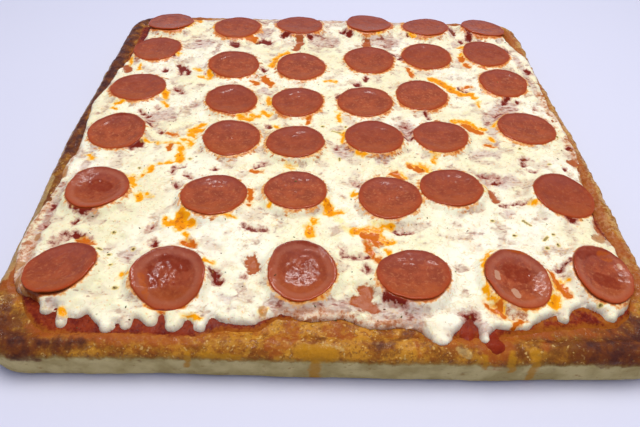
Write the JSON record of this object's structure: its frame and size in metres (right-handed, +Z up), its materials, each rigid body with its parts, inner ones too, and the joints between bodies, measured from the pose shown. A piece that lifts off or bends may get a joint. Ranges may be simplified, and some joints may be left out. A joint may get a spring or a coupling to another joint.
{
  "type": "sicilian pan pizza",
  "caption": "Whole uncut square sicilian pizza: thick pan crust, tomato sauce, a ragged sheet of melted mozzarella and pepperoni slices with lightly curled edges.",
  "frame": {"origin": "middle of the bounding box on the flat underside", "axes": "+Z up, +X to the right and +Y to the back for someone who stands at the front edge"},
  "size_m": [0.4066, 0.4099, 0.0362],
  "materials": {
    "crust": "baked dough: golden brown, mottled, matte on top, pale cream on the side",
    "sauce": "cooked tomato sauce, wet",
    "cheese": "melted mozzarella, creamy white with orange oil and browned spots",
    "pepperoni": "cooked pepperoni, reddish brown and oily"
  },
  "bodies": {
    "root": {"crust": "crust", "tomato_sauce": "sauce", "cheese": "cheese", "pepperoni_row1_slice1": "pepperoni", "pepperoni_row1_slice2": "pepperoni", "pepperoni_row1_slice3": "pepperoni", "pepperoni_row1_slice4": "pepperoni", "pepperoni_row1_slice5": "pepperoni", "pepperoni_row1_slice6": "pepperoni", "pepperoni_row2_slice1": "pepperoni", "pepperoni_row2_slice2": "pepperoni", "pepperoni_row2_slice3": "pepperoni", "pepperoni_row2_slice4": "pepperoni", "pepperoni_row2_slice5": "pepperoni", "pepperoni_row2_slice6": "pepperoni", "pepperoni_row3_slice1": "pepperoni", "pepperoni_row3_slice2": "pepperoni", "pepperoni_row3_slice3": "pepperoni", "pepperoni_row3_slice4": "pepperoni", "pepperoni_row3_slice5": "pepperoni", "pepperoni_row3_slice6": "pepperoni", "pepperoni_row4_slice1": "pepperoni", "pepperoni_row4_slice2": "pepperoni", "pepperoni_row4_slice3": "pepperoni", "pepperoni_row4_slice4": "pepperoni", "pepperoni_row4_slice5": "pepperoni", "pepperoni_row4_slice6": "pepperoni", "pepperoni_row5_slice1": "pepperoni", "pepperoni_row5_slice2": "pepperoni", "pepperoni_row5_slice3": "pepperoni", "pepperoni_row5_slice4": "pepperoni", "pepperoni_row5_slice5": "pepperoni", "pepperoni_row5_slice6": "pepperoni", "pepperoni_row6_slice1": "pepperoni", "pepperoni_row6_slice2": "pepperoni", "pepperoni_row6_slice3": "pepperoni", "pepperoni_row6_slice4": "pepperoni", "pepperoni_row6_slice5": "pepperoni", "pepperoni_row6_slice6": "pepperoni"}
  },
  "joints": []
}
